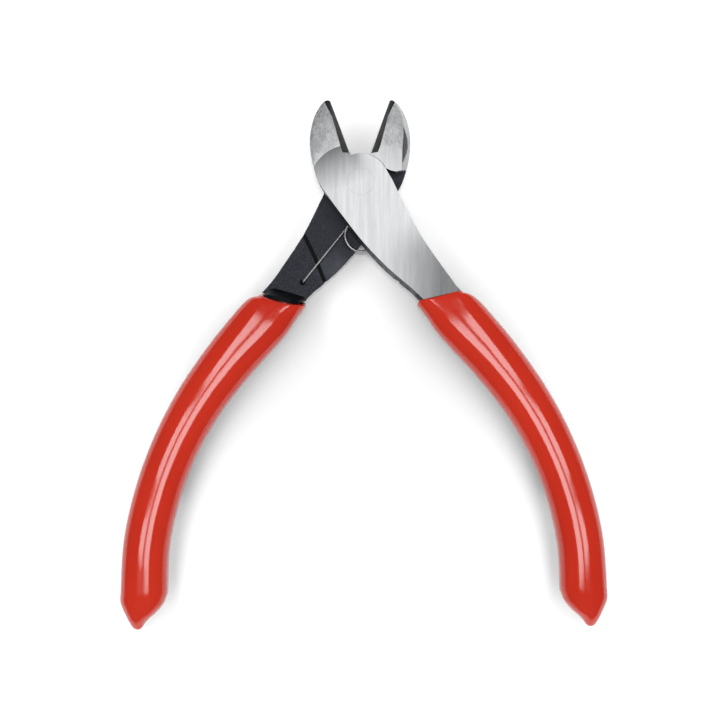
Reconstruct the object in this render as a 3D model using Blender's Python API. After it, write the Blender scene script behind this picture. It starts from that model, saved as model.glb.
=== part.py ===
"""Diagonal cutting pliers with a lap joint, a return spring and dipped grips.

The tool lies flat. The origin is on the pivot axis, at the rear lever's ground face. +Z runs
along the pivot axis towards the front lever, +Y points to the jaws and +X to the right. At rest
the handles are open. Sizes below are in millimetres and degrees; the meshes are in metres.

Both levers are the same forging. It is drawn closed, in its own frame: +Z out of its ground
face, z = 0 halfway through the head, +Y to the jaw tip, its handle on +X and its jaw on -X.
"""
import math

import bmesh
import bpy

MM = 0.001

# Head and joint
HEAD_THICKNESS = 7.0
HALF_HEAD = HEAD_THICKNESS / 2
HALF_OPENING = 19.8
HEAD_RADIUS = 5.3
RECESS_RADIUS = 5.37
BOSS_RADIUS = 4.25
LAP_GAP = 0.05
RIVET_RADIUS = 2.5
RIVET_CLEARANCE = 0.05
NECK_RELIEF = 0.9
SHANK_RELIEF = 0.55
GROOVE_WIDTH = 0.75
GROOVE_Z = 1.3
OUTSIDE = 5.0

# Jaw
EDGE_GAP = 0.03
EDGE_LAND = 0.02
JAW_ROOT_Y = 5.3
TIP_Y = 16.6
FACET_DROP = 2.0
BEVEL_START = 6.3
BEVEL_WIDTH = 1.27

# Return spring
WIRE_RADIUS = 0.25
COIL_RADIUS = 3.04
LEG_REACH = 14.26
SPRING_HOLE = (4.15, -21.49)
SPRING_HOLE_RADIUS = 0.58
SPRING_HOLE_DEPTH_Z = 2.4
COIL_PITCH = 0.56
COIL_LOW_Z = 2.9
ARC_HIGH_Z = 4.05
LEG_LEVEL = 0.25
LEG_RISE_LENGTH = 7.8
LEG_BEND_RADIUS = 0.45
LEG_TAIL = 1.3

# Handle stations: inner edge x, y, outer edge x, y, half thickness and squareness of the oval
GRIP_STATIONS = [
    (2.05, -24.95, 11.30, -26.10, 4.10, 5.0),
    (2.75, -27.90, 12.95, -28.10, 4.15, 3.6),
    (4.03, -32.70, 14.35, -31.10, 4.20, 2.9),
    (7.87, -42.00, 17.17, -39.00, 4.20, 2.5),
    (10.72, -50.80, 19.78, -49.00, 4.15, 2.4),
    (12.23, -59.60, 21.11, -59.00, 4.10, 2.4),
    (12.37, -68.50, 21.19, -69.00, 4.10, 2.4),
    (11.23, -77.30, 19.97, -79.00, 4.10, 2.4),
    (8.72, -85.50, 16.96, -89.00, 4.00, 2.4),
]
RINGS_PER_SPAN = 3
RING_POINTS = 20
# Handle's end, past the last station: distance along, inner and outer offset, half thickness
TIP_STATIONS = [
    (1.0, -4.20, 4.20, 3.95), (2.0, -3.85, 3.95, 3.80), (3.0, -3.30, 3.65, 3.50),
    (3.9, -2.60, 3.30, 3.10), (4.8, -1.55, 2.85, 2.45), (5.6, -0.45, 2.35, 1.75),
    (6.2, 0.25, 2.00, 1.15), (6.6, 0.65, 1.70, 0.70), (6.8, 0.95, 1.45, 0.35),
]
TANG_SPANS = 7
TANG_INSET = 1.15
TANG_HALF_THICKNESS = 2.75
TANG_SQUARENESS = 3.0
SLEEVE_GAP = 0.2
NECK_Y = -23.9
MOUTH_GAP = 0.2

STEEL = (0.46, 0.47, 0.48)
SPRING_STEEL = (0.62, 0.63, 0.65)
VINYL = (0.58, 0.03, 0.015)


def clear_scene():
    for obj in list(bpy.data.objects):
        bpy.data.objects.remove(obj, do_unlink=True)


def make_material(name, colour, roughness, metallic):
    material = bpy.data.materials.new(name)
    material.use_nodes = True
    shader = material.node_tree.nodes["Principled BSDF"]
    shader.inputs["Base Color"].default_value = (*colour, 1.0)
    shader.inputs["Roughness"].default_value = roughness
    shader.inputs["Metallic"].default_value = metallic
    return material


def arc(centre, radius, start, end, steps):
    """Points on a circular arc, both ends included; angles in degrees from +X."""
    points = []
    for step in range(steps + 1):
        angle = math.radians(start + (end - start) * step / steps)
        points.append((centre[0] + radius * math.cos(angle), centre[1] + radius * math.sin(angle)))
    return points


def smooth_curve(knots, steps):
    """A Catmull-Rom curve through the knots, both ends included."""
    padded = [knots[0], *knots, knots[-1]]
    points = []
    for first, a, b, last in zip(padded, padded[1:], padded[2:], padded[3:]):
        for step in range(steps):
            t = step / steps
            point = []
            for p0, p1, p2, p3 in zip(first, a, b, last):
                linear = (p2 - p0) * t
                square = (2 * p0 - 5 * p1 + 4 * p2 - p3) * t ** 2
                cubic = (3 * p1 - p0 - 3 * p2 + p3) * t ** 3
                point.append(p1 + (linear + square + cubic) / 2)
            points.append(tuple(point))
    points.append(tuple(knots[-1]))
    return points


def loft(name, rings):
    """A closed solid skinned over rings of equal length, given in millimetres."""
    mesh = bpy.data.meshes.new(name)
    bm = bmesh.new()
    rows = [[bm.verts.new([value * MM for value in point]) for point in ring] for ring in rings]
    count = len(rows[0])
    for low, high in zip(rows, rows[1:]):
        for i in range(count):
            j = (i + 1) % count
            bm.faces.new((low[i], low[j], high[j], high[i]))
    bm.faces.new(list(reversed(rows[0])))
    bm.faces.new(rows[-1])
    bmesh.ops.recalc_face_normals(bm, faces=bm.faces)
    bmesh.ops.triangulate(bm, faces=bm.faces)
    bm.to_mesh(mesh)
    bm.free()
    obj = bpy.data.objects.new(name, mesh)
    bpy.context.collection.objects.link(obj)
    return obj


def prism(name, outline, low, high):
    return loft(name, [[(x, y, z) for x, y in outline] for z in (low, high)])


def combine(obj, other, operation):
    """Add an exact boolean with another object, which then stays hidden as a guide."""
    modifier = obj.modifiers.new(other.name, "BOOLEAN")
    modifier.operation = operation
    modifier.solver = "EXACT"
    modifier.object = other
    other.hide_render = True
    other.display_type = "WIRE"


def bake(obj, guides, material):
    """The evaluated mesh of obj, after which obj and its guides are removed."""
    depsgraph = bpy.context.evaluated_depsgraph_get()
    mesh = bpy.data.meshes.new_from_object(obj.evaluated_get(depsgraph))
    for used in (obj, *guides):
        bpy.data.objects.remove(used, do_unlink=True)
    finish(mesh, material)
    return mesh


def finish(mesh, material):
    mesh.materials.clear()
    mesh.materials.append(material)
    mesh.shade_smooth()
    mesh.set_sharp_from_angle(angle=math.radians(28))


def above_mouth(x):
    """The point at x on the shank's end, which stops just short of the grip's mouth."""
    inner_x, inner_y, outer_x, outer_y = GRIP_STATIONS[0][:4]
    return x, inner_y + (outer_y - inner_y) * (x - inner_x) / (outer_x - inner_x) + MOUTH_GAP


def forging_outline(inner_side, outer_end):
    """Outline of the forging at one level, from the grip's mouth up its outer side and round."""
    outer_side = [
        above_mouth(outer_end), (9.75, -23.3), (8.92, -20.5), (7.1, -13.35), (6.18, -6.53), (5.72, -1.83),
    ]
    head = arc((0, 0), HEAD_RADIUS, 11, 90, 14)
    edge = [(-EDGE_GAP, JAW_ROOT_Y), (-EDGE_GAP, inner_side[0][1])]
    return smooth_curve(outer_side, 3) + head[:-1] + edge + smooth_curve(inner_side, 3)[1:]


def forging_blank():
    """The full-thickness blank, with the wall drafted inwards away from the ground face."""
    ground_side = [
        (-EDGE_GAP, TIP_Y), (-0.8, 16.85), (-2.39, 16.07), (-4.32, 14.15), (-6.14, 10.97),
        (-7.2, 7.0), (-7.42, 2.74), (-6.57, -1.02), (-5.21, -5.57), (-3.41, -11.1),
        (-0.88, -16.89), (2.16, -22.36), above_mouth(3.4),
    ]
    middle_side = [
        (-EDGE_GAP, TIP_Y), (-0.8, 16.85), (-2.39, 16.07), (-4.32, 14.15), (-6.14, 10.97),
        (-7.2, 7.0), (-7.45, 2.74), (-6.8, -1.02), (-5.6, -5.8), (-4.0, -11.6),
        (-1.6, -17.6), (1.4, -22.5), above_mouth(2.45),
    ]
    far_side = [
        (-EDGE_GAP, TIP_Y - 0.4), (-0.5, 16.3), (-1.6, 15.4), (-3.2, 13.2), (-4.6, 10.4),
        (-5.7, 7.4), (-6.8, 3.2), (-6.8, -1.02), (-5.6, -5.8), (-4.0, -11.6),
        (-1.6, -17.6), (1.4, -22.5), above_mouth(2.45),
    ]
    levels = (
        (ground_side, 10.35, HALF_HEAD), (middle_side, 10.9, 0.0), (far_side, 10.9, -HALF_HEAD),
    )
    rings = [[(x, y, z) for x, y in forging_outline(side, end)] for side, end, z in levels]
    return loft("blank", rings)


def facet_cutter(centre, radius, direction):
    """Grinds one face of the jaw to a shallow cone that meets the flat head in an arc."""
    slope = FACET_DROP / (TIP_Y - centre[1] - radius)
    near = radius - 1.0
    far = radius + 14.0
    rings = []
    for step in range(25):
        angle = math.radians(60 + 90 * step / 24)
        ring = []
        for reach, lift in ((near, slope), (far, -14.0 * slope), (far, OUTSIDE), (near, OUTSIDE)):
            x = centre[0] + reach * math.cos(angle)
            y = centre[1] + reach * math.sin(angle)
            ring.append((x, y, direction * (HALF_HEAD + lift)))
        rings.append(ring)
    return loft("facet", rings)


def bevel_cutter():
    """Cuts both bevels, leaving the cutting edge halfway through the thickness."""
    height = HALF_HEAD + 1.5
    flat = 8.0
    stations = ((JAW_ROOT_Y, 0.0), (BEVEL_START, BEVEL_WIDTH), (flat, BEVEL_WIDTH), (TIP_Y + 1, BEVEL_WIDTH))
    rings = []
    for y, width in stations:
        face = HALF_HEAD - FACET_DROP * max(0.0, y - flat) / (TIP_Y - flat)
        left = EDGE_LAND - (width + EDGE_LAND) * height / face
        rings.append([
            (left, y, height), (EDGE_LAND, y, 0.0), (left, y, -height), (3.0, y, -height), (3.0, y, height),
        ])
    return loft("bevel", rings)


def lap_cutter():
    """Clears the other lever's head and shank below the lap face."""
    wall = arc((0, 0), RECESS_RADIUS, 90, 133, 10)
    flare = [(-4.75, 3.84), (-5.64, 3.95), (-6.4, 4.45), (-9.0, 6.2)]
    far = [(-9.0, -30.0), (16.0, -30.0), (16.0, RECESS_RADIUS)]
    return prism("lap", wall + flare + far, -HALF_HEAD - 1, LAP_GAP)


def neck_cutter():
    """Relief round the spring, between the lap boss and the step across the shank."""
    boss = arc((0, 0), BOSS_RADIUS, -166, -14, 20)
    step_line = [(9.0, -1.0), (9.0, -10.8), (3.73, -15.97), (-3.0, -22.8), (-9.0, -1.0)]
    return prism("neck", boss + step_line, -HALF_HEAD - 1, NECK_RELIEF)


def groove_cutter():
    """The narrow groove along the step, cut through both sides of the shank."""
    middle = [(9.2, -11.3), (6.6, -13.15), (3.73, -15.97), (1.85, -18.13), (-1.5, -21.9)]
    half = GROOVE_WIDTH / 2 / math.sqrt(2)
    near = [(x - half, y + half) for x, y in middle]
    far = [(x + half, y - half) for x, y in reversed(middle)]
    return prism("groove", near + far, -HALF_HEAD - 1, GROOVE_Z)


def shank_cutter():
    """Relief beyond the step, down to the grip."""
    outline = [(-9.0, -8.0), (-9.0, -30.0), (16.0, -30.0), (16.0, -8.0)]
    return prism("shank", outline, -HALF_HEAD - 1, SHANK_RELIEF)


def oval(station, inset, half_thickness, squareness):
    """A rounded section across the handle between the station's inner and outer points."""
    inner_x, inner_y, outer_x, outer_y = station[:4]
    width = math.hypot(outer_x - inner_x, outer_y - inner_y)
    ring = []
    for i in range(RING_POINTS):
        angle = math.tau * i / RING_POINTS
        across = math.copysign(abs(math.cos(angle)) ** (2 / squareness), math.cos(angle))
        up = math.copysign(abs(math.sin(angle)) ** (2 / squareness), math.sin(angle))
        share = 0.5 + across * (0.5 - inset / width)
        x = inner_x + (outer_x - inner_x) * share
        y = inner_y + (outer_y - inner_y) * share
        ring.append((x, y, up * half_thickness))
    return ring


def tang():
    """The steel inside the grip, with the neck that rises from the shank to its full depth."""
    stations = smooth_curve(GRIP_STATIONS, 1)[:TANG_SPANS]
    root = (1.9, NECK_Y + 0.1, 9.9, NECK_Y - 0.3)
    rings = [[(x, y, 1.9 + z * 0.42) for x, y, z in oval(root, 0.6, TANG_HALF_THICKNESS, 5.0)]]
    for station in stations:
        rings.append(oval(station, TANG_INSET, TANG_HALF_THICKNESS, TANG_SQUARENESS))
    return loft("tang", rings)


def make_forging(material):
    blank = forging_blank()
    cutters = [
        facet_cutter((-2.07, -0.55), 8.14, 1),
        facet_cutter((-6.0, -22.0), 30.2, -1),
        bevel_cutter(),
        lap_cutter(),
        neck_cutter(),
        groove_cutter(),
        shank_cutter(),
    ]
    for cutter in cutters:
        combine(blank, cutter, "DIFFERENCE")
    handle = tang()
    combine(blank, handle, "UNION")
    holes = [
        prism("pivot_hole", arc((0, 0), RIVET_RADIUS + RIVET_CLEARANCE, 0, 351, 39), -OUTSIDE, OUTSIDE),
        prism("spring_hole", arc(SPRING_HOLE, SPRING_HOLE_RADIUS, 0, 330, 11), -1.0, SPRING_HOLE_DEPTH_Z),
    ]
    for hole in holes:
        combine(blank, hole, "DIFFERENCE")
    return bake(blank, [*cutters, handle, *holes], material)


def handle_end(last):
    """Rings past the last station, which lean to the drip of vinyl on the handle's tip."""
    inner_x, inner_y, outer_x, outer_y = last[:4]
    squareness = last[5]
    width = math.hypot(outer_x - inner_x, outer_y - inner_y)
    across = ((outer_x - inner_x) / width, (outer_y - inner_y) / width)
    along = (across[1], -across[0])
    middle = ((inner_x + outer_x) / 2, (inner_y + outer_y) / 2)
    rings = []
    for distance, inner, outer, half_thickness in TIP_STATIONS:
        station = []
        for offset in (inner, outer):
            station.append(middle[0] + along[0] * distance + across[0] * offset)
            station.append(middle[1] + along[1] * distance + across[1] * offset)
        rings.append(oval(station, 0.0, half_thickness, squareness))
    return rings


def make_grip(material):
    """A blind sleeve: up the cavity from its closed end, over the lip, and down the outside."""
    outside = smooth_curve(GRIP_STATIONS, RINGS_PER_SPAN)
    cavity = smooth_curve(GRIP_STATIONS, 1)[:TANG_SPANS]
    beyond = smooth_curve(GRIP_STATIONS, RINGS_PER_SPAN)[RINGS_PER_SPAN * (TANG_SPANS - 1) + 1]
    inset = TANG_INSET - SLEEVE_GAP
    thickness = TANG_HALF_THICKNESS + SLEEVE_GAP
    rings = [oval(beyond, inset, thickness, TANG_SQUARENESS)]
    rings += [oval(station, inset, thickness, TANG_SQUARENESS) for station in reversed(cavity)]
    rings += [oval(station, 0.0, station[4], station[5]) for station in outside]
    rings += handle_end(outside[-1])
    grip = loft("grip", rings)
    mesh = grip.data
    bpy.data.objects.remove(grip, do_unlink=True)
    finish(mesh, material)
    return mesh


def make_rivet(material):
    rivet = prism("rivet", arc((0, 0), RIVET_RADIUS, 0, 351, 39), -HALF_HEAD, HALF_HEAD)
    mesh = rivet.data
    bpy.data.objects.remove(rivet, do_unlink=True)
    finish(mesh, material)
    return mesh


def place(name, mesh, facing_front):
    """One half's piece, turned over for the rear half, and opened about the pivot."""
    obj = bpy.data.objects.new(name, mesh)
    bpy.context.collection.objects.link(obj)
    obj.location = (0, 0, HALF_HEAD * MM)
    if facing_front:
        obj.rotation_euler = (0, 0, math.radians(HALF_OPENING))
    else:
        obj.rotation_euler = (0, math.pi, math.radians(-HALF_OPENING))
    return obj


def spring_frame():
    """Hole and coil centre at rest, for the left leg; the right leg mirrors them."""
    angle = math.atan2(SPRING_HOLE[0], -SPRING_HOLE[1]) + math.radians(HALF_OPENING)
    reach = math.hypot(*SPRING_HOLE)
    hole = (-reach * math.sin(angle), -reach * math.cos(angle))
    coil_y = hole[1] + math.sqrt(LEG_REACH ** 2 - hole[0] ** 2)
    return hole, (0.0, coil_y)


def leg_points(hole, tangent, coil_z, bend):
    """From the tail in the lever's hole to the coil; bend is -1 for a tail that points down."""
    length = math.dist(hole, tangent)
    unit = ((tangent[0] - hole[0]) / length, (tangent[1] - hole[1]) / length)
    leg_z = HALF_HEAD + bend * LEG_LEVEL
    points = [(*hole, leg_z + bend * LEG_TAIL)]
    for step in range(4):
        angle = math.radians(90) * step / 3
        reach = LEG_BEND_RADIUS * (1 - math.cos(angle))
        drop = LEG_BEND_RADIUS * (1 - math.sin(angle))
        points.append((hole[0] + unit[0] * reach, hole[1] + unit[1] * reach, leg_z + bend * drop))
    flat = length - LEG_RISE_LENGTH
    points.append((hole[0] + unit[0] * flat, hole[1] + unit[1] * flat, leg_z))
    points.append((*tangent, coil_z))
    return points


def wire(name, points, origin, material):
    """A round wire along the points, with its object's origin on its own hinge axis."""
    curve = bpy.data.curves.new(name, "CURVE")
    curve.dimensions = "3D"
    curve.bevel_depth = WIRE_RADIUS * MM
    curve.bevel_resolution = 2
    curve.use_fill_caps = True
    spline = curve.splines.new("POLY")
    spline.points.add(len(points) - 1)
    for knot, point in zip(spline.points, points):
        x, y, z = point
        knot.co = ((x - origin[0]) * MM, (y - origin[1]) * MM, z * MM, 1.0)
    curve.materials.append(material)
    obj = bpy.data.objects.new(name, curve)
    obj.location = (origin[0] * MM, origin[1] * MM, 0)
    bpy.context.collection.objects.link(obj)
    return obj


def make_spring(material):
    """The one spring wire in two pieces: the coil with its left leg, and the right leg."""
    hole, centre = spring_frame()
    lean = math.degrees(math.atan2(centre[1] - hole[1], centre[0] - hole[0]))
    start = lean + math.degrees(math.asin(COIL_RADIUS / LEG_REACH)) + 90
    turn = arc(centre, COIL_RADIUS, start, start - 360, 28)
    coil = [(x, y, COIL_LOW_Z + COIL_PITCH * i / 28) for i, (x, y) in enumerate(turn)]
    wire("spring_coil", leg_points(hole, turn[0], COIL_LOW_Z, -1)[:-1] + coil, hole, material)
    right_hole = (-hole[0], hole[1])
    over = arc(centre, COIL_RADIUS, 180 - start, 180 - start + 175, 14)
    leg = leg_points(right_hole, over[0], ARC_HIGH_Z, 1)[:-1]
    wire("spring_front_leg", leg + [(x, y, ARC_HIGH_Z) for x, y in over], right_hole, material)


def main():
    clear_scene()
    steel = make_material("forged_steel", STEEL, 0.42, 1.0)
    spring_steel = make_material("spring_steel", SPRING_STEEL, 0.25, 1.0)
    vinyl = make_material("dipped_vinyl", VINYL, 0.2, 0.0)
    forging = make_forging(steel)
    grip = make_grip(vinyl)
    place("rear_lever", forging, False)
    place("front_lever", forging, True)
    place("rear_grip", grip, False)
    place("front_grip", grip, True)
    place("pivot_rivet", make_rivet(steel), False)
    make_spring(spring_steel)


main()
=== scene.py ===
import math

import bmesh
import bpy
from mathutils import Matrix, Vector


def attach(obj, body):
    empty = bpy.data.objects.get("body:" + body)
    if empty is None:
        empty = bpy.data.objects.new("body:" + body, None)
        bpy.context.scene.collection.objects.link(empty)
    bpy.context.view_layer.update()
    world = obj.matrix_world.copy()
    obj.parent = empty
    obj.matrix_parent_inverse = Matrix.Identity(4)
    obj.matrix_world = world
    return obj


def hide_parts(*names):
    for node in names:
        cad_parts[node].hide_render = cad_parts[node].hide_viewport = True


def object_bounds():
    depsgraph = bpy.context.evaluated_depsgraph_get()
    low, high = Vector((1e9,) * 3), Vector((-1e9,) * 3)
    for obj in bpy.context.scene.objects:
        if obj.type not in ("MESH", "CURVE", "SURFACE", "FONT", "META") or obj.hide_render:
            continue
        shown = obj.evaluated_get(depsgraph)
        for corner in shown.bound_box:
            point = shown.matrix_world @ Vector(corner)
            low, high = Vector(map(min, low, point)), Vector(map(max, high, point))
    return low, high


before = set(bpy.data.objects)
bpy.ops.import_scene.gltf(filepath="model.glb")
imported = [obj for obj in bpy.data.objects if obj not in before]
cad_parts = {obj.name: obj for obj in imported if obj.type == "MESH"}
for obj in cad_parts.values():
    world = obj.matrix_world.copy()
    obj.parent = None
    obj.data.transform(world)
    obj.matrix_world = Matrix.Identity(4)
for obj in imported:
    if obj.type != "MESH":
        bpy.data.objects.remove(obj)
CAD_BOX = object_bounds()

# Diagonal cutting pliers. Lengths are in millimetres and angles in degrees unless a name says otherwise.
# Both levers are one forging and both grips are one sleeve, drawn closed in the forging's own frame:
# +Z out of its ground face, z = 0 halfway through the head, +Y to the jaw tip, its handle on +X.
MM = 0.001
HALF_HEAD = 3.5
HALF_OPENING = 19.8

# Rivet: its broken edge at the rear end and at the front end, and the rings inside its end faces
RIVET_RADIUS = 2.54
RIVET_EDGE = 0.06
RIVET_FRONT_EDGE = 0.008
RIVET_RINGS = (0.35, RIVET_RADIUS * 0.7)
RIVET_SIDES = 60
RIVET_SHARP_ANGLE = 30

# Forging: rounding of its edges outside the pivot hole's zone, and how its CAD mesh is cleaned first
EDGE_ROUND = 0.09
EDGE_ANGLE = 32
SHARP_ANGLE = 40
HOLE_ZONE = 2.75
WELD_DISTANCE = 0.002
LEVEL_ANGLE = 0.6
FACE_WEIGHT = 60

# Where its finishes meet, in its own frame, and parts of the normal that tell its sides apart
LEVEL = 0.995
FACING_UP = 0.85
GROOVE_FLOOR_FACING = -0.9
WALL_FACING = -0.2
BEVEL_FACING = 0.5
FACE_TOLERANCE = 0.01
LAP_Z = 0.4
HEAD_START_Y = 3.0
NECK_START_Y = -23.0
TANG_TOP_Z = 1.0
GROOVE_FLOOR_Z = (1.2, 1.4)
WALL_EDGE_X = -0.5
WALL_START_Y = 2.0
BEVEL_START_Y = 5.0

# Sleeve's sections down the handle: inner x and y, outer x and y, half thickness, squareness
GRIP_STATIONS = [
    (2.05, -24.95, 11.20, -26.05, 4.10, 4.0),
    (2.20, -25.80, 12.35, -26.95, 4.12, 3.7),
    (2.75, -27.90, 13.10, -28.20, 4.15, 3.2),
    (4.03, -32.70, 14.35, -31.10, 4.20, 2.9),
    (7.87, -42.00, 17.17, -39.00, 4.20, 2.5),
    (10.72, -50.80, 19.78, -49.00, 4.15, 2.4),
    (12.23, -59.60, 21.11, -59.00, 4.10, 2.4),
    (12.37, -68.50, 21.19, -69.00, 4.10, 2.4),
    (11.23, -77.30, 19.97, -79.00, 4.10, 2.4),
    (8.72, -85.50, 17.10, -89.06, 4.00, 2.4),
]
# Its end past the last section: distance along, inner and outer offset, half thickness
TIP_STATIONS = [
    (1.0, -4.15, 4.64, 3.95), (2.0, -3.65, 4.42, 3.80), (3.0, -2.80, 4.08, 3.45),
    (3.9, -1.80, 3.72, 3.00), (4.7, -0.75, 3.42, 2.40), (5.4, 0.00, 3.05, 1.80),
    (6.0, 0.50, 2.72, 1.25), (6.4, 0.85, 2.40, 0.85), (6.65, 1.25, 2.00, 0.40),
]
RING_POINTS = 56
RINGS_PER_SPAN = 8
TIP_RINGS_PER_SPAN = 3

# Cavity for the tang, and its blind end
TANG_SPANS = 8
CAVITY_INSET = 1.05
CAVITY_HALF_THICKNESS = 2.85
CAVITY_SQUARENESS = 3.0
CAVITY_END_RINGS = 3
CAVITY_END_HALF_THICKNESS = 2.4
CAVITY_MOUTH_SQUARENESS = 4.0
CAVITY_MOUTH_DEPTH = 0.5

# Rolled lip, which stands up from the mouth's line and closes over the shank
LIP_RADIUS = 0.28
LIP_RISE = 0.3
LIP_STEPS = 5
LIP_INSET = 0.85
LIP_DIP = 0.06
SHANK_COVER = 3.52

# The mouth's hollow line on each side, its slant to the far side, and how far down both reach
SAG_REACH = 5.0
SAG_GROUND_SIDE = 0.20
SAG_FAR_SIDE = 0.75
SAG_SIDE_FADE = 1.6
MOUTH_SLANT = 0.65
SLANT_START = 0.8

# Spring
WIRE_RADIUS = 0.25
WIRE_ROUNDNESS = 4
COIL_RADIUS = 3.04
COIL_STEPS = 72
LEG_REACH = 14.26
SPRING_HOLE = (4.15, -21.49)
COIL_PITCH = 0.56
COIL_LOW_Z = 2.9
ARC_HIGH_Z = 4.05
ARC_HIGH_TURN = 175
ARC_HIGH_STEPS = 36
LEG_LEVEL = 0.25
LEG_RISE_LENGTH = 7.8
LEG_RISE_STEPS = 16
LEG_BEND_RADIUS = 0.45
LEG_BEND_STEPS = 8
LEG_TAIL = 1.3

# Finishes of the forging's faces, in the order of its materials
BLACK, FACE, JAW, NECK, WALL = range(5)


# ---------------------------------------------------------------- shapes

def front_frame():
    """The front forging's own frame, opened about the rivet."""
    opened = Matrix.Rotation(math.radians(HALF_OPENING), 4, "Z")
    return Matrix.Translation((0, 0, HALF_HEAD * MM)) @ opened


def rear_frame():
    """The rear forging's own frame: turned over, and opened the other way."""
    turned = Matrix.Rotation(math.radians(-HALF_OPENING), 4, "Z") @ Matrix.Rotation(math.pi, 4, "Y")
    return Matrix.Translation((0, 0, HALF_HEAD * MM)) @ turned


def add_piece(name, mesh, matrix, body, node):
    """A piece whose mesh is drawn in a frame of its own and put in place by its vertices."""
    placed = mesh.copy()
    placed.transform(matrix)
    piece = bpy.data.objects.new(name, placed)
    bpy.context.collection.objects.link(piece)
    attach(piece, body)
    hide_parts(node)
    return piece


def smooth_curve(knots, steps):
    """A Catmull-Rom curve through the knots, both ends included."""
    padded = [knots[0], *knots, knots[-1]]
    points = []
    for first, a, b, last in zip(padded, padded[1:], padded[2:], padded[3:]):
        for step in range(steps):
            t = step / steps
            point = []
            for p0, p1, p2, p3 in zip(first, a, b, last):
                linear = (p2 - p0) * t
                square = (2 * p0 - 5 * p1 + 4 * p2 - p3) * t ** 2
                cubic = (3 * p1 - p0 - 3 * p2 + p3) * t ** 3
                point.append(p1 + (linear + square + cubic) / 2)
            points.append(tuple(point))
    points.append(tuple(knots[-1]))
    return points


def arc(centre, radius, start, end, steps):
    """Points on a circular arc, both ends included; angles from +X."""
    points = []
    for step in range(steps + 1):
        angle = math.radians(start + (end - start) * step / steps)
        points.append((centre[0] + radius * math.cos(angle), centre[1] + radius * math.sin(angle)))
    return points


def loft(name, rings):
    """A closed skin over rings of equal length, given in millimetres, with a fan at each end."""
    mesh = bpy.data.meshes.new(name)
    bm = bmesh.new()
    rows = [[bm.verts.new([value * MM for value in point]) for point in ring] for ring in rings]
    count = len(rows[0])
    for low, high in zip(rows, rows[1:]):
        for i in range(count):
            j = (i + 1) % count
            bm.faces.new((low[i], low[j], high[j], high[i]))
    bm.faces.new(list(reversed(rows[0])))
    bm.faces.new(rows[-1])
    bmesh.ops.recalc_face_normals(bm, faces=bm.faces)
    bm.to_mesh(mesh)
    bm.free()
    mesh.shade_smooth()
    return mesh


def surface_kind(normal, centre):
    """Which finish a face of the forging has, from where it lies and the way it faces."""
    level = abs(normal.z) > LEVEL
    seen_flat = normal.z > 0 or centre.y > HEAD_START_Y
    if abs(normal.z) > FACING_UP and abs(centre.z) > LAP_Z and seen_flat:
        return FACE if level and abs(centre.z) > HALF_HEAD - FACE_TOLERANCE else JAW
    # The neck band gets the near-black finish: its own black, darkened further as painted shade
    if centre.y < NECK_START_Y and not (level and abs(centre.z) < TANG_TOP_Z):
        return NECK
    # The groove's floor gets the near-black finish as painted shade in the recess
    if GROOVE_FLOOR_Z[0] < centre.z < GROOVE_FLOOR_Z[1] and normal.z < GROOVE_FLOOR_FACING:
        return NECK
    wall_side = centre.x < WALL_EDGE_X and centre.y > WALL_START_Y and centre.z < 0
    if wall_side and normal.x < WALL_FACING:
        return WALL
    if centre.y > BEVEL_START_Y and normal.x > BEVEL_FACING:
        return NECK
    return BLACK


def forging_mesh(node, to_own_frame):
    """The forging in its own frame, with flat faces whole, each face's finish, and edges to round."""
    bm = bmesh.new()
    bm.from_mesh(node.data)
    bmesh.ops.transform(bm, matrix=to_own_frame, verts=bm.verts)
    bmesh.ops.remove_doubles(bm, verts=bm.verts, dist=WELD_DISTANCE * MM)
    bmesh.ops.dissolve_limit(
        bm, angle_limit=math.radians(LEVEL_ANGLE), use_dissolve_boundaries=False,
        verts=bm.verts, edges=bm.edges,
    )
    bmesh.ops.recalc_face_normals(bm, faces=bm.faces)
    for face in bm.faces:
        face.material_index = surface_kind(face.normal, face.calc_center_median() / MM)
    corners = []
    for edge in bm.edges:
        middle = (edge.verts[0].co + edge.verts[1].co) / 2 / MM
        turn = math.degrees(edge.calc_face_angle(0.0))
        if turn > EDGE_ANGLE and math.hypot(middle.x, middle.y) > HOLE_ZONE:
            corners.append(edge)
    bmesh.ops.bevel(
        bm, geom=corners, offset=EDGE_ROUND * MM, segments=2, profile=0.5, affect="EDGES",
        offset_type="OFFSET", clamp_overlap=True,
    )
    mesh = bpy.data.meshes.new("forging")
    bm.to_mesh(mesh)
    bm.free()
    mesh.shade_smooth()
    mesh.set_sharp_from_angle(angle=math.radians(SHARP_ANGLE))
    return mesh


def add_lever(side, matrix):
    """One forging, with finishes that follow its own frame."""
    node = side + "_lever"
    mesh = forging_mesh(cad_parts[node], matrix.inverted())
    for finish in (black_oxide, ground_face, ground_jaw, black_neck_and_shade, jaw_wall):
        mesh.materials.append(finish(side, matrix))
    piece = add_piece(side + "_forging", mesh, matrix, side + "_half", node)
    flat = piece.modifiers.new("flat_faces", "WEIGHTED_NORMAL")
    flat.mode = "FACE_AREA"
    flat.weight = FACE_WEIGHT
    flat.keep_sharp = True
    return piece


def mouth_sag(share, up):
    """How far the sleeve's mouth hangs back from the straight line between its ground-side corners."""
    depth = SAG_GROUND_SIDE if up > 0 else SAG_FAR_SIDE
    hollow = depth * math.sin(math.pi * min(1.0, max(0.0, share))) * min(1.0, abs(up) * SAG_SIDE_FADE)
    lean = min(1.0, max(0.0, (SLANT_START - up) / SLANT_START))
    return hollow + MOUTH_SLANT * lean * lean * (3 - 2 * lean)


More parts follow.
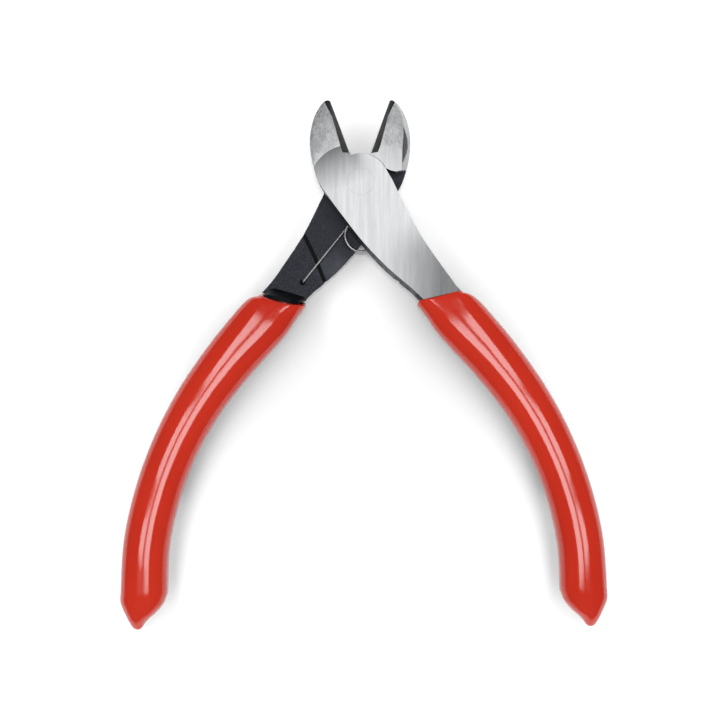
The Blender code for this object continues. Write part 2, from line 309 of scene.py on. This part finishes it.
def oval(station, inset, thickness_up, thickness_down, squareness, drop=0.0, sag=0.0):
    """A rounded section across the handle; drop moves it down the handle, sag shapes the mouth."""
    inner_x, inner_y, outer_x, outer_y = station[:4]
    width = math.hypot(outer_x - inner_x, outer_y - inner_y)
    down = ((outer_y - inner_y) / width, -(outer_x - inner_x) / width)
    ring = []
    for i in range(RING_POINTS):
        angle = math.tau * i / RING_POINTS
        across = math.copysign(abs(math.cos(angle)) ** (2 / squareness), math.cos(angle))
        up = math.copysign(abs(math.sin(angle)) ** (2 / squareness), math.sin(angle))
        share = 0.5 + across * (0.5 - inset / width)
        shift = drop + sag * mouth_sag(share, math.sin(angle))
        x = inner_x + (outer_x - inner_x) * share + down[0] * shift
        y = inner_y + (outer_y - inner_y) * share + down[1] * shift
        ring.append((x, y, up * (thickness_up if up > 0 else thickness_down)))
    return ring


def handle_end(last):
    """Rings past the last station, which lean to the drip of vinyl on the handle's tip."""
    inner_x, inner_y, outer_x, outer_y = last[:4]
    squareness = last[5]
    width = math.hypot(outer_x - inner_x, outer_y - inner_y)
    across = ((outer_x - inner_x) / width, (outer_y - inner_y) / width)
    along = (across[1], -across[0])
    middle = ((inner_x + outer_x) / 2, (inner_y + outer_y) / 2)
    start = (0.0, -width / 2, width / 2, last[4])
    curve = smooth_curve([start, *TIP_STATIONS], TIP_RINGS_PER_SPAN)
    rings = []
    for distance, inner, outer, half_thickness in curve[1:]:
        station = []
        for offset in (inner, outer):
            station.append(middle[0] + along[0] * distance + across[0] * offset)
            station.append(middle[1] + along[1] * distance + across[1] * offset)
        rings.append(oval(station, 0.0, half_thickness, half_thickness, squareness))
    return rings


def sleeve_mesh():
    """A dipped sleeve: up its cavity from the blind end, over the rounded lip, and down outside."""
    outside = smooth_curve(GRIP_STATIONS, RINGS_PER_SPAN)
    mouth = outside[0]
    half_thickness, squareness = mouth[4:]
    blind_end = outside[RINGS_PER_SPAN * (TANG_SPANS - 1) + CAVITY_END_RINGS]
    thin, full = CAVITY_END_HALF_THICKNESS, CAVITY_HALF_THICKNESS
    rings = [oval(blind_end, CAVITY_INSET, thin, thin, CAVITY_SQUARENESS)]
    for station in reversed(GRIP_STATIONS[1:TANG_SPANS]):
        rings.append(oval(station, CAVITY_INSET, full, full, CAVITY_SQUARENESS))
    rings.append(oval(mouth, CAVITY_INSET, full, full, CAVITY_MOUTH_SQUARENESS, CAVITY_MOUTH_DEPTH, 1.0))
    rings.append(oval(mouth, LIP_INSET, SHANK_COVER, full, squareness, LIP_DIP - LIP_RISE, 1.0))
    for step in range(LIP_STEPS, -1, -1):
        angle = math.radians(90) * step / LIP_STEPS
        inset = LIP_RADIUS * (1 - math.cos(angle))
        drop = LIP_RADIUS * (1 - math.sin(angle)) - LIP_RISE
        thickness = half_thickness - inset
        rings.append(oval(mouth, inset, thickness, thickness, squareness, drop, 1.0))
    travelled = 0.0
    for before, station in zip(outside, outside[1:]):
        travelled += math.dist(
            ((before[0] + before[2]) / 2, (before[1] + before[3]) / 2),
            ((station[0] + station[2]) / 2, (station[1] + station[3]) / 2),
        )
        left = max(0.0, 1.0 - travelled / SAG_REACH)
        rings.append(oval(station, 0.0, station[4], station[4], station[5], 0.0, left * left))
    rings += handle_end(outside[-1])
    return loft("sleeve", rings)


def add_grip(side, matrix):
    """A sleeve, kept out of diffuse bounces so that no red falls on the floor."""
    mesh = sleeve_mesh()
    mesh.materials.append(dipped_vinyl(side, matrix))
    piece = add_piece(side + "_sleeve", mesh, matrix, side + "_half", side + "_grip")
    piece.visible_diffuse = False
    return piece


def add_rivet():
    """The rivet, peened flush and ground with the faces, with a fine broken edge at each end."""
    inner, middle = RIVET_RINGS
    profile = (
        (inner, -HALF_HEAD), (middle, -HALF_HEAD), (RIVET_RADIUS - RIVET_EDGE, -HALF_HEAD),
        (RIVET_RADIUS, -HALF_HEAD + RIVET_EDGE), (RIVET_RADIUS, HALF_HEAD - RIVET_FRONT_EDGE),
        (RIVET_RADIUS - RIVET_FRONT_EDGE, HALF_HEAD), (middle, HALF_HEAD), (inner, HALF_HEAD),
    )
    last, steps = 360 - 360 / RIVET_SIDES, RIVET_SIDES - 1
    rings = [[(x, y, z) for x, y in arc((0, 0), radius, 0, last, steps)] for radius, z in profile]
    mesh = loft("rivet", rings)
    mesh.set_sharp_from_angle(angle=math.radians(RIVET_SHARP_ANGLE))
    mesh.materials.append(ground_face("rivet", front_frame()))
    return add_piece("pivot_pin", mesh, front_frame(), "rear_half", "pivot_rivet")


def leg_points(hole, tangent, coil_z, bend):
    """From the tail in the lever's hole to the coil; bend is -1 for a tail that points down."""
    length = math.dist(hole, tangent)
    unit = ((tangent[0] - hole[0]) / length, (tangent[1] - hole[1]) / length)
    leg_z = HALF_HEAD + bend * LEG_LEVEL
    points = [(*hole, leg_z + bend * LEG_TAIL)]
    for step in range(LEG_BEND_STEPS + 1):
        angle = math.radians(90) * step / LEG_BEND_STEPS
        reach = LEG_BEND_RADIUS * (1 - math.cos(angle))
        drop = LEG_BEND_RADIUS * (1 - math.sin(angle))
        points.append((hole[0] + unit[0] * reach, hole[1] + unit[1] * reach, leg_z + bend * drop))
    flat = length - LEG_RISE_LENGTH
    for step in range(LEG_RISE_STEPS + 1):
        reach = flat + LEG_RISE_LENGTH * step / LEG_RISE_STEPS
        rise = (1 - math.cos(math.pi * step / LEG_RISE_STEPS)) / 2
        x, y = (hole[0] + unit[0] * reach, hole[1] + unit[1] * reach)
        points.append((x, y, leg_z + (coil_z - leg_z) * rise))
    return points


def wire(name, points, material, body, node):
    """A round wire along the points, in world millimetres."""
    curve = bpy.data.curves.new(name, "CURVE")
    curve.dimensions = "3D"
    curve.bevel_depth = WIRE_RADIUS * MM
    curve.bevel_resolution = WIRE_ROUNDNESS
    curve.use_fill_caps = True
    spline = curve.splines.new("POLY")
    spline.points.add(len(points) - 1)
    for knot, point in zip(spline.points, points):
        knot.co = (*[value * MM for value in point], 1.0)
    spline.use_smooth = True
    curve.materials.append(material)
    piece = bpy.data.objects.new(name, curve)
    bpy.context.collection.objects.link(piece)
    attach(piece, body)
    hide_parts(node)
    return piece


def add_spring(material):
    """The one wire in two pieces, which hinge about each other's coil: coil and left leg, right leg."""
    angle = math.atan2(SPRING_HOLE[0], -SPRING_HOLE[1]) + math.radians(HALF_OPENING)
    reach = math.hypot(*SPRING_HOLE)
    hole = (-reach * math.sin(angle), -reach * math.cos(angle))
    centre = (0.0, hole[1] + math.sqrt(LEG_REACH ** 2 - hole[0] ** 2))
    lean = math.degrees(math.atan2(centre[1] - hole[1], centre[0] - hole[0]))
    start = lean + math.degrees(math.asin(COIL_RADIUS / LEG_REACH)) + 90
    turn = arc(centre, COIL_RADIUS, start, start - 360, COIL_STEPS)
    coil = [(x, y, COIL_LOW_Z + COIL_PITCH * i / COIL_STEPS) for i, (x, y) in enumerate(turn)]
    left = leg_points(hole, turn[0], COIL_LOW_Z, -1)[:-1] + coil
    over = arc(centre, COIL_RADIUS, 180 - start, 180 - start + ARC_HIGH_TURN, ARC_HIGH_STEPS)
    right = leg_points((-hole[0], hole[1]), over[0], ARC_HIGH_Z, 1)[:-1]
    right += [(x, y, ARC_HIGH_Z) for x, y in over]
    return [
        wire("spring_wire_coil", left, material, "rear_spring_part", "spring_coil"),
        wire("spring_wire_leg", right, material, "front_spring_part", "spring_front_leg"),
    ]


# ---------------------------------------------------------------- materials

SATIN_DARK, SATIN_PALE = (0.56, 0.57, 0.58), (0.86, 0.87, 0.88)
SATIN_CLOUD = (0.66, 0.675, 0.69)
# Painted shade on the ground face below the jaw's facet
UNDER_FACET_PAINTED_SHADE = (0.05, 0.051, 0.054)
# Painted shade on the ground face at the shank's outer edge
OUTER_SHANK_PAINTED_SHADE = (0.10, 0.102, 0.108)
FACET_DARK, FACET_PALE = (0.46, 0.465, 0.475), (0.86, 0.87, 0.88)
OXIDE_DARK, OXIDE_PALE = (0.012, 0.013, 0.019), (0.088, 0.094, 0.13)
OXIDE_PALE_PATCH = (0.16, 0.17, 0.21)
WALL_BLACK = (0.004, 0.004, 0.005)
WALL_DARK, WALL_PALE = (0.36, 0.365, 0.37), (0.56, 0.57, 0.58)
# Near-black: the neck's own black darkened with painted shade, and painted shade on the groove's floor
NECK_SHADE_DARK, NECK_SHADE_PALE = (0.005, 0.005, 0.007), (0.015, 0.016, 0.020)
WIRE_DARK, WIRE_PALE = (0.34, 0.34, 0.35), (0.50, 0.50, 0.51)
VINYL_DARK, VINYL_PALE = (0.52, 0.019, 0.005), (0.565, 0.024, 0.007)
VINYL_SPECK = (0.66, 0.05, 0.02)
PAPER_DARK, PAPER_PALE = (0.93, 0.93, 0.93), (0.95, 0.95, 0.95)
PAPER_ROUGHNESS = 0.9

# Ground face: the painted shade below the jaw's facet and at the shank's outer edge, from where to where
UNDER_FACET = {"front": 0.8, "rivet": 0.8, "rear": 0.1}
UNDER_FACET_Y = (0.0, 7.6)
UNDER_FACET_X = (3.5, 0.5)
OUTER_SHANK = 0.8
OUTER_SHANK_Y = (-7.5, -17.0)
OUTER_SHANK_X = (5.0, 18.0)
SHANK_LEAN = 0.45

# The lean of the facet's grinding marks, the pale patch on the shank,
# and the black crescent on the jaw's outer wall
MARKS_LEAN = 14
PALE_PATCH_PLACE = (-0.6, -17.0)
PALE_PATCH_REACH = (4.5, 1.0)
PALE_PATCH_SHARE = 0.4
CRESCENT_Y = 9.6
CRESCENT_HALF_LENGTH = 3.9
CRESCENT_DEPTH = 2.3
CRESCENT_EDGE_Z = (-1.3, -0.9)


class Nodes:
    """A material with a few short ways to add nodes to its tree."""

    def __init__(self, name, own_frame=Matrix.Identity(4)):
        self.material = bpy.data.materials.new(name)
        self.material.use_nodes = True
        self.tree = self.material.node_tree
        self.shader = self.tree.nodes["Principled BSDF"]
        inward = own_frame.inverted()
        own = self.add("ShaderNodeMapping")
        own.inputs["Scale"].default_value = (1 / MM, 1 / MM, 1 / MM)
        own.inputs["Rotation"].default_value = inward.to_euler()
        own.inputs["Location"].default_value = inward.translation / MM
        self.link(self.add("ShaderNodeTexCoord").outputs["Object"], own.inputs["Vector"])
        self.place = own.outputs["Vector"]

    def add(self, kind):
        return self.tree.nodes.new(kind)

    def link(self, value, socket):
        if isinstance(value, bpy.types.NodeSocket):
            self.tree.links.new(value, socket)
        else:
            socket.default_value = value

    def mapped(self, scale, turn=0.0, move=(0, 0, 0)):
        """The piece's own coordinates in millimetres, turned about Z and stretched."""
        turned = self.add("ShaderNodeMapping")
        turned.inputs["Rotation"].default_value = (0, 0, math.radians(turn))
        self.link(self.place, turned.inputs["Vector"])
        stretched = self.add("ShaderNodeMapping")
        stretched.inputs["Scale"].default_value = scale
        stretched.inputs["Location"].default_value = move
        self.link(turned.outputs["Vector"], stretched.inputs["Vector"])
        return stretched.outputs["Vector"]

    def noise(self, vector, scale=1.0, detail=2.0, rough=0.5):
        node = self.add("ShaderNodeTexNoise")
        node.inputs["Scale"].default_value = scale
        node.inputs["Detail"].default_value = detail
        node.inputs["Roughness"].default_value = rough
        self.link(vector, node.inputs["Vector"])
        return node.outputs["Fac"]

    def ramp(self, value, low, high, to_low=0.0, to_high=1.0, smooth=True):
        node = self.add("ShaderNodeMapRange")
        node.interpolation_type = "SMOOTHSTEP" if smooth else "LINEAR"
        limits = {"From Min": low, "From Max": high, "To Min": to_low, "To Max": to_high}
        for name, number in limits.items():
            node.inputs[name].default_value = number
        self.link(value, node.inputs["Value"])
        return node.outputs["Result"]

    def math(self, operation, a, b):
        node = self.add("ShaderNodeMath")
        node.operation = operation
        self.link(a, node.inputs[0])
        self.link(b, node.inputs[1])
        return node.outputs["Value"]

    def mix(self, share, a, b):
        """A colour between a and b."""
        node = self.add("ShaderNodeMix")
        node.data_type = "RGBA"
        self.link(share, node.inputs["Factor"])
        for value, socket in ((a, node.inputs["A"]), (b, node.inputs["B"])):
            self.link(value if isinstance(value, bpy.types.NodeSocket) else (*value, 1.0), socket)
        return node.outputs["Result"]

    def axis(self, vector, name):
        node = self.add("ShaderNodeSeparateXYZ")
        self.link(vector, node.inputs["Vector"])
        return node.outputs[name]

    def distance(self, centre):
        """Distance from an upright line through the centre."""
        flat = self.mapped((1.0, 1.0, 0.0))
        node = self.add("ShaderNodeVectorMath")
        node.operation = "DISTANCE"
        self.link(flat, node.inputs[0])
        node.inputs[1].default_value = (*centre, 0.0)
        return node.outputs["Value"]

    def bump(self, height, strength, depth, before=None):
        """Bump whose depth is in millimetres."""
        node = self.add("ShaderNodeBump")
        node.inputs["Strength"].default_value = strength
        node.inputs["Distance"].default_value = depth * MM
        self.link(height, node.inputs["Height"])
        if before is not None:
            self.link(before, node.inputs["Normal"])
        return node.outputs["Normal"]

    def finish(self, colour, roughness, normal=None, metallic=0.0):
        self.link(colour, self.shader.inputs["Base Color"])
        self.link(roughness, self.shader.inputs["Roughness"])
        self.shader.inputs["Metallic"].default_value = metallic
        if normal is not None:
            self.link(normal, self.shader.inputs["Normal"])
        return self.material


def ground_face(side, own_frame):
    """The flat faces, belt-ground along the tool, with painted shade under the jaw and at the shank's
    edge.
    """
    m = Nodes(side + "_ground_face", own_frame)
    fine = m.noise(m.mapped((7.5, 0.30, 1.0), turn=HALF_OPENING), detail=3.0, rough=0.6)
    broad = m.noise(m.mapped((1.6, 0.10, 1.0), turn=HALF_OPENING, move=(7, 3, 1)))
    cloud = m.noise(m.mapped((0.16, 0.1, 0.2), move=(2, 9, 4)))
    tone = m.math("ADD", m.math("MULTIPLY", fine, 0.7), m.math("MULTIPLY", broad, 0.3))
    colour = m.mix(m.ramp(tone, 0.33, 0.68), SATIN_DARK, SATIN_PALE)
    colour = m.mix(m.ramp(cloud, 0.35, 0.7, to_high=0.25), colour, SATIN_CLOUD)
    along = m.axis(m.place, "Y")
    across = m.axis(m.place, "X")
    # Painted shade: darker below the jaw's facet, more on the front lever's face than on the rear's
    below = m.ramp(along, *UNDER_FACET_Y, to_high=UNDER_FACET[side], smooth=False)
    shade = m.math("MULTIPLY", below, m.ramp(across, *UNDER_FACET_X))
    colour = m.mix(shade, colour, UNDER_FACET_PAINTED_SHADE)
    # Painted shade: darker towards the shank's outer edge, further down the shank
    from_middle = m.math("SUBTRACT", across, m.math("MULTIPLY", along, SHANK_LEAN))
    outer = m.ramp(from_middle, *OUTER_SHANK_X, to_high=OUTER_SHANK, smooth=False)
    shade = m.math("MULTIPLY", outer, m.ramp(along, *OUTER_SHANK_Y))
    colour = m.mix(shade, colour, OUTER_SHANK_PAINTED_SHADE)
    roughness = m.ramp(fine, 0.3, 0.7, to_low=0.36, to_high=0.48)
    return m.finish(colour, roughness, m.bump(fine, strength=0.3, depth=0.015), metallic=1.0)


def jaw_mark_tone(m):
    """Short grinding marks across the jaw, and their tone with broader patches."""
    marks = m.noise(m.mapped((4.2, 1.6, 1.0), turn=HALF_OPENING + MARKS_LEAN), detail=4.0, rough=0.65)
    patches = m.noise(m.mapped((0.8, 0.5, 0.5), move=(3, 1, 8)), detail=3.0, rough=0.6)
    return marks, m.math("ADD", m.math("MULTIPLY", marks, 0.65), m.math("MULTIPLY", patches, 0.35))


def ground_jaw(side, own_frame):
    """The jaws' facets, ground across in short mottled marks."""
    m = Nodes(side + "_ground_jaw", own_frame)
    marks, tone = jaw_mark_tone(m)
    colour = m.mix(m.ramp(tone, 0.34, 0.66), FACET_DARK, FACET_PALE)
    roughness = m.ramp(marks, 0.3, 0.7, to_low=0.38, to_high=0.55)
    return m.finish(colour, roughness, m.bump(marks, strength=0.4, depth=0.03), metallic=1.0)


def oxide_colour(m):
    """The forged scale's fine and coarse grain, and its colour."""
    grain = m.noise(m.mapped((1.0, 1.0, 1.0)), scale=4.6, detail=4.0, rough=0.7)
    coarse = m.noise(m.mapped((1.0, 1.0, 1.0)), scale=0.7, detail=3.0, rough=0.55)
    tone = m.math("ADD", m.math("MULTIPLY", grain, 0.7), m.math("MULTIPLY", coarse, 0.3))
    return grain, coarse, m.mix(m.ramp(tone, 0.38, 0.7), OXIDE_DARK, OXIDE_PALE)


def black_oxide(side, own_frame):
    """Forged scale under black oxide: fine blue-grey grain, and a paler round patch on the shank."""
    m = Nodes(side + "_black_oxide", own_frame)
    grain, coarse, colour = oxide_colour(m)
    # A paler round patch on the shank, fading out from its middle
    pale_patch = m.ramp(m.distance(PALE_PATCH_PLACE), *PALE_PATCH_REACH, to_high=PALE_PATCH_SHARE)
    colour = m.mix(pale_patch, colour, OXIDE_PALE_PATCH)
    roughness = m.ramp(coarse, 0.3, 0.7, to_low=0.42, to_high=0.6)
    return m.finish(colour, roughness, m.bump(grain, strength=0.5, depth=0.06), metallic=0.35)


def jaw_wall(side, own_frame):
    """The jaw's outer wall: a black crescent where the forging dips, and ground bright around it."""
    m = Nodes(side + "_jaw_wall", own_frame)
    grain, _, black = oxide_colour(m)
    marks, tone = jaw_mark_tone(m)
    bright = m.mix(m.ramp(tone, 0.34, 0.66), WALL_DARK, WALL_PALE)
    height = m.axis(m.place, "Z")
    length = m.axis(m.place, "Y")
    away = m.math("DIVIDE", m.math("SUBTRACT", length, CRESCENT_Y), CRESCENT_HALF_LENGTH)
    bow = m.math("MULTIPLY", m.math("MULTIPLY", away, away), CRESCENT_DEPTH)
    share = m.ramp(m.math("ADD", height, bow), *CRESCENT_EDGE_Z)
    colour = m.mix(share, m.mix(0.6, black, WALL_BLACK), bright)
    roughness = m.ramp(marks, 0.3, 0.7, to_low=0.4, to_high=0.55)
    return m.finish(colour, roughness, m.bump(grain, strength=0.3, depth=0.03), metallic=0.8)


def black_neck_and_shade(side, own_frame):
    """The smooth black band before the grip, darkened past the oxide as painted shade, and the groove's
    floor, painted near-black as shade.
    """
    m = Nodes(side + "_black_neck", own_frame)
    soft = m.noise(m.mapped((1.0, 1.0, 1.0)), scale=1.6, detail=3.0)
    # Near-black colour: the neck's black with painted shade, and painted shade in the groove
    colour = m.mix(m.ramp(soft, 0.3, 0.7), NECK_SHADE_DARK, NECK_SHADE_PALE)
    m.shader.inputs["Specular IOR Level"].default_value = 0.1
    roughness = m.ramp(soft, 0.3, 0.7, to_low=0.4, to_high=0.55)
    return m.finish(colour, roughness, m.bump(soft, strength=0.25, depth=0.03))


def spring_steel():
    """Drawn wire, dark but polished, with fine lines."""
    m = Nodes("drawn_wire")
    lines = m.noise(m.mapped((3.0, 3.0, 9.0)))
    colour = m.mix(m.ramp(lines, 0.35, 0.65), WIRE_DARK, WIRE_PALE)
    roughness = m.ramp(lines, 0.3, 0.7, to_low=0.14, to_high=0.2)
    return m.finish(colour, roughness, m.bump(lines, strength=0.1, depth=0.005), metallic=1.0)


def dipped_vinyl(side, own_frame):
    """Glossy dipped vinyl: an even red-orange with a faint drift in tone and a slow ripple."""
    m = Nodes(side + "_dipped_vinyl", own_frame)
    drift = m.noise(m.mapped((0.09, 0.05, 0.09)))
    speckle = m.noise(m.mapped((2.5, 2.5, 2.5)), detail=3.0, rough=0.6)
    ripple = m.noise(m.mapped((0.28, 0.16, 0.28), move=(5, 2, 1)), detail=1.0, rough=0.4)
    colour = m.mix(m.ramp(drift, 0.3, 0.7), VINYL_DARK, VINYL_PALE)
    colour = m.mix(m.ramp(speckle, 0.55, 0.8, to_high=0.25), colour, VINYL_SPECK)
    fine = m.bump(speckle, strength=0.1, depth=0.01)
    normal = m.bump(ripple, strength=0.25, depth=0.12, before=fine)
    m.shader.inputs["Coat Weight"].default_value = 0.25
    m.shader.inputs["Coat Roughness"].default_value = 0.06
    roughness = m.ramp(speckle, 0.3, 0.7, to_low=0.08, to_high=0.12)
    return m.finish(colour, roughness, normal)


# ---------------------------------------------------------------- studio

CAMERA_PLACE = (-0.38, -33.63, 383.5)
CAMERA_ROLL = -0.45
LENS = 100
SENSOR = 36
WORLD_STRENGTH = 0.18

# The floor, which glows beyond the tool so that it stays pale to its far edge
FLOOR_Z = CAD_BOX[0][2] / MM
FLOOR_HALF_SIZE = 2000
FLOOR_MIDDLE = (0, -35)
GLOW_REACH = (100, 280)
GLOW_STRENGTH = 0.85

# Soft boxes: place, size, radiance, the point that they face, and for the last one its spread
OVERHEAD_BOX = ((0, -30, 800), (500, 500), 1.65, (0, -30, 0))
FACET_BOX = ((300, 330, 800), (300, 300), 2.7, (0, 0, 0))
HEAD_WASH = ((0, 16, 160), (44, 60), 0.65, (0, 16, 0), 24)

# The boxes behind and before the grips, and the floor's washes left and right of them
BROAD_Y, BROAD_Z = 1000, 900
BROAD_SIZE = (1400, 1400)
BROAD_RADIANCE = 1.9
WASH_X, WASH_Z = 66, 66
WASH_SIZE = (34, 520)
WASH_RADIANCE = 5.0

# Twin strips over each grip, in runs from one of its sections to another
STRIP_RUNS = ((2, 3), (3, 5), (5, 7), (7, 9))
STRIP_WIDTH = 85
STRIP_GAP = 24
STRIP_RADIANCE = 6.5


def make_camera():
    data = bpy.data.cameras.new("camera")
    data.lens = LENS
    data.sensor_width = SENSOR
    data.clip_start = 0.01
    camera = bpy.data.objects.new("camera", data)
    camera.location = [value * MM for value in CAMERA_PLACE]
    camera.rotation_euler = (0, 0, math.radians(CAMERA_ROLL))
    bpy.context.collection.objects.link(camera)
    bpy.context.scene.camera = camera


def make_floor():
    mesh = bpy.data.meshes.new("floor")
    bm = bmesh.new()
    bmesh.ops.create_grid(bm, x_segments=1, y_segments=1, size=FLOOR_HALF_SIZE * MM)
    bm.to_mesh(mesh)
    bm.free()
    floor = bpy.data.objects.new("floor", mesh)
    floor.location = (0, 0, FLOOR_Z * MM)
    bpy.context.collection.objects.link(floor)
    m = Nodes("paper_floor")
    tooth = m.noise(m.mapped((0.5, 0.5, 0.5)))
    glow = m.ramp(m.distance(FLOOR_MIDDLE), *GLOW_REACH, to_high=GLOW_STRENGTH)
    m.shader.inputs["Emission Color"].default_value = (1, 1, 1, 1)
    m.link(glow, m.shader.inputs["Emission Strength"])
    colour = m.mix(tooth, PAPER_DARK, PAPER_PALE)
    mesh.materials.append(m.finish(colour, PAPER_ROUGHNESS))
    return floor


def area_light(name, location, size, radiance, target, spread=180.0):
    """A soft box that looks as bright as the radiance given, from any distance."""
    data = bpy.data.lights.new(name, "AREA")
    data.shape = "RECTANGLE"
    data.size, data.size_y = (value * MM for value in size)
    data.energy = radiance * math.pi * size[0] * size[1] * MM * MM
    data.spread = math.radians(spread)
    light = bpy.data.objects.new(name, data)
    light.location = [value * MM for value in location]
    light.rotation_euler = (Vector(target) - Vector(location)).to_track_quat("-Z", "Y").to_euler()
    light.visible_camera = False
    bpy.context.collection.objects.link(light)
    return light


def lit_only(light, pieces):
    """Limits a light to some pieces, so that a box for the steel leaves the grips' gloss alone."""
    group = bpy.data.collections.new(light.name + "_lights")
    for piece in pieces:
        group.objects.link(piece)
    light.light_linking.receiver_collection = group


def crest_points():
    """Points along the top of the right handle at rest, in world x and y."""
    points = []
    for station in GRIP_STATIONS:
        middle = Vector(((station[0] + station[2]) / 2, (station[1] + station[3]) / 2))
        middle.rotate(Matrix.Rotation(math.radians(HALF_OPENING), 2))
        points.append(middle)
    return points


def strip_light(name, start, end, edge, grip):
    """A narrow light, mirrored in the level crest from start to end as the camera sees it."""
    lens = Vector(CAMERA_PLACE[:2])
    start, end = 2 * start - lens, 2 * end - lens
    run = end - start
    across = Vector((-run.y, run.x)).normalized()
    middle = (start + end) / 2 + across * edge * (STRIP_WIDTH + STRIP_GAP) / 2
    place = (middle.x, middle.y, CAMERA_PLACE[2])
    strip = area_light(name, place, (run.length, STRIP_WIDTH), STRIP_RADIANCE, (middle.x, middle.y, 0.0))
    strip.rotation_euler = (0, 0, math.atan2(run.y, run.x))
    lit_only(strip, [grip])


def make_lights(steel, grips, floor):
    world = bpy.data.worlds.new("studio")
    world.use_nodes = True
    world.node_tree.nodes["Background"].inputs["Color"].default_value = (1, 1, 1, 1)
    world.node_tree.nodes["Background"].inputs["Strength"].default_value = WORLD_STRENGTH
    bpy.context.scene.world = world
    bpy.context.scene.view_settings.view_transform = "Standard"
    lit_only(area_light("overhead", *OVERHEAD_BOX), steel)
    lit_only(area_light("facet", *FACET_BOX), steel)
    lit_only(area_light("head_wash", *HEAD_WASH), [floor])
    for name, direction in (("back", 1), ("front", -1)):
        place = (0, direction * BROAD_Y, BROAD_Z)
        broad = area_light(name, place, BROAD_SIZE, BROAD_RADIANCE, OVERHEAD_BOX[3])
        broad.visible_glossy = False
        lit_only(broad, grips)
    crest = crest_points()
    for direction, grip in zip((1, -1), grips):
        x, y = direction * WASH_X, FLOOR_MIDDLE[1]
        wash = area_light(grip.name + "_wash", (x, y, WASH_Z), WASH_SIZE, WASH_RADIANCE, (x, y, 0))
        lit_only(wash, [floor])
        side = [Vector((direction * point.x, point.y)) for point in crest]
        for number, (start, end) in enumerate(STRIP_RUNS):
            for edge in (-1, 1):
                strip_light(f"{grip.name}_strip_{number}_{edge}", side[start], side[end], edge, grip)


make_camera()
paper = make_floor()
lever_pieces = [add_lever("front", front_frame()), add_lever("rear", rear_frame()), add_rivet()]
grip_pieces = [add_grip("front", front_frame()), add_grip("rear", rear_frame())]
lever_pieces += add_spring(spring_steel())
make_lights(lever_pieces, grip_pieces, paper)
